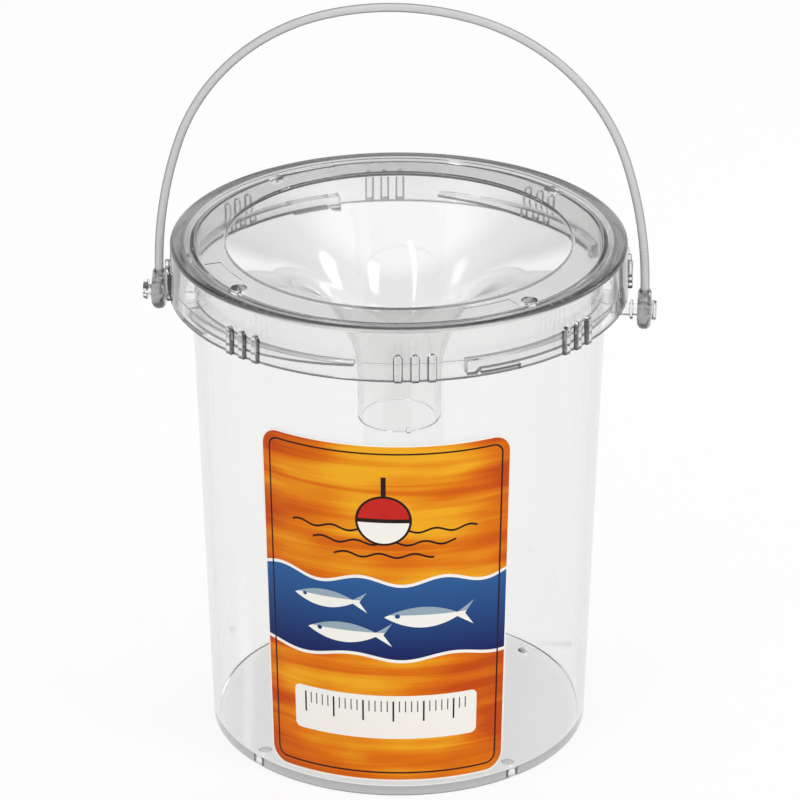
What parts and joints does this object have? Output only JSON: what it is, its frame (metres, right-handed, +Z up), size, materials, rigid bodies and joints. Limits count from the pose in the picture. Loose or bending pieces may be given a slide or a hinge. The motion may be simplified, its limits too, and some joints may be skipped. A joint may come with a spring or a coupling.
{
  "type": "minnow bucket",
  "caption": "Clear plastic minnow trap jar with a funnel mouth held by a turning bayonet ring, a thin swinging bail and a front label.",
  "frame": {"origin": "centre of the jar's floor on the surface that it stands on", "axes": "+Z up, X along the bail's pivot axis, -Y towards the label"},
  "size_m": [0.1676, 0.1512, 0.2523],
  "materials": {
    "jar_clear": "clear moulded plastic, polished",
    "funnel_clear": "clear moulded plastic, polished",
    "ring_clear": "clear moulded plastic, polished",
    "pin_clear": "clear moulded plastic",
    "eye_clear": "clear moulded plastic",
    "rod_milky": "milky drawn plastic rod",
    "label_film": "printed film, satin"
  },
  "bodies": {
    "jar": {"jar": "jar_clear", "funnel": "funnel_clear", "pivot_pin_left": "pin_clear", "pivot_pin_right": "pin_clear", "label": "label_film"},
    "ring": {"lid_ring": "ring_clear"},
    "bail": {"bail_rod": "rod_milky", "bail_eye_left": "eye_clear", "bail_eye_right": "eye_clear"}
  },
  "joints": [
    {"name": "ring_twist", "type": "hinge", "parent": "jar", "child": "ring", "pos_m": [0, 0, 0.16], "axis": [0, 0, 1], "range_deg": [0, 75]},
    {"name": "bail_swing", "type": "hinge", "parent": "jar", "child": "bail", "pos_m": [0, 0, 0.15], "axis": [1, 0, 0], "range_deg": [-135, 135]}
  ]
}
